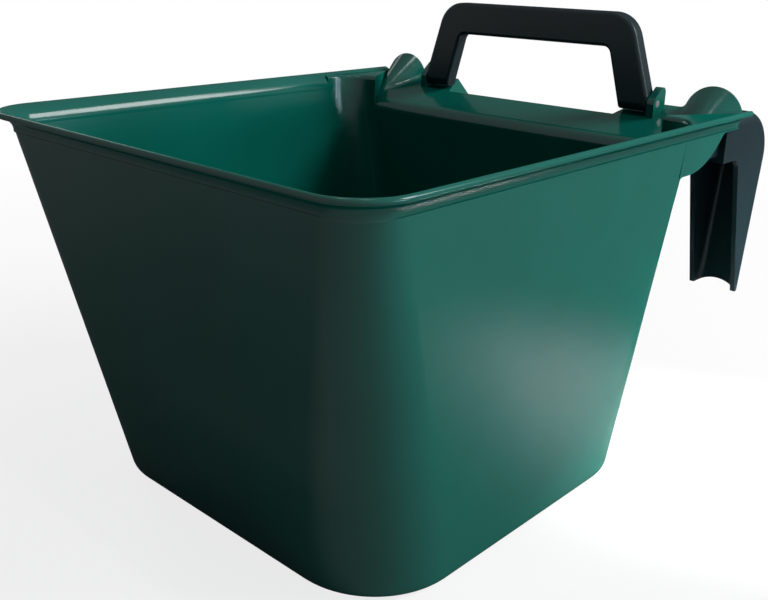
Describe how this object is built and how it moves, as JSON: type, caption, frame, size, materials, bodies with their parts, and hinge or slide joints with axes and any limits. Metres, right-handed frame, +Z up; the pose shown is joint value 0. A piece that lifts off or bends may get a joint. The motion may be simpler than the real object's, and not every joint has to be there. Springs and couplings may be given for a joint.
{
  "type": "portable horse feeder",
  "caption": "Tapered square feed tub with a rolled rim, a folding carry handle and two channel hooks at the back that hang it over a fence or stall rail.",
  "frame": {"origin": "middle of the flat underside of the base, half way between the sides and half way along the base", "axes": "+Z up, +Y towards the hooks and the rail, +X to the right of someone facing the front; X = 0 is the plane of symmetry"},
  "size_m": [0.34, 0.4366, 0.3085],
  "materials": {
    "green_plastic": "glossy moulded dark green polypropylene",
    "black_plastic": "satin moulded bluish-black polypropylene",
    "steel": "zinc-plated steel"
  },
  "bodies": {
    "tub": {"tub": "green_plastic", "hook_left": "black_plastic", "hook_right": "black_plastic", "handle_pin_left": "steel", "handle_pin_right": "steel", "hook_screws_left": "steel", "hook_screws_right": "steel", "hook_washers_left": "steel", "hook_washers_right": "steel"},
    "handle": {"carry_handle": "black_plastic"}
  },
  "joints": [
    {"name": "handle_fold", "type": "hinge", "parent": "tub", "child": "handle", "pos_m": [0, 0.173, 0.248], "axis": [1, 0, 0], "range_deg": [0, 108]}
  ]
}
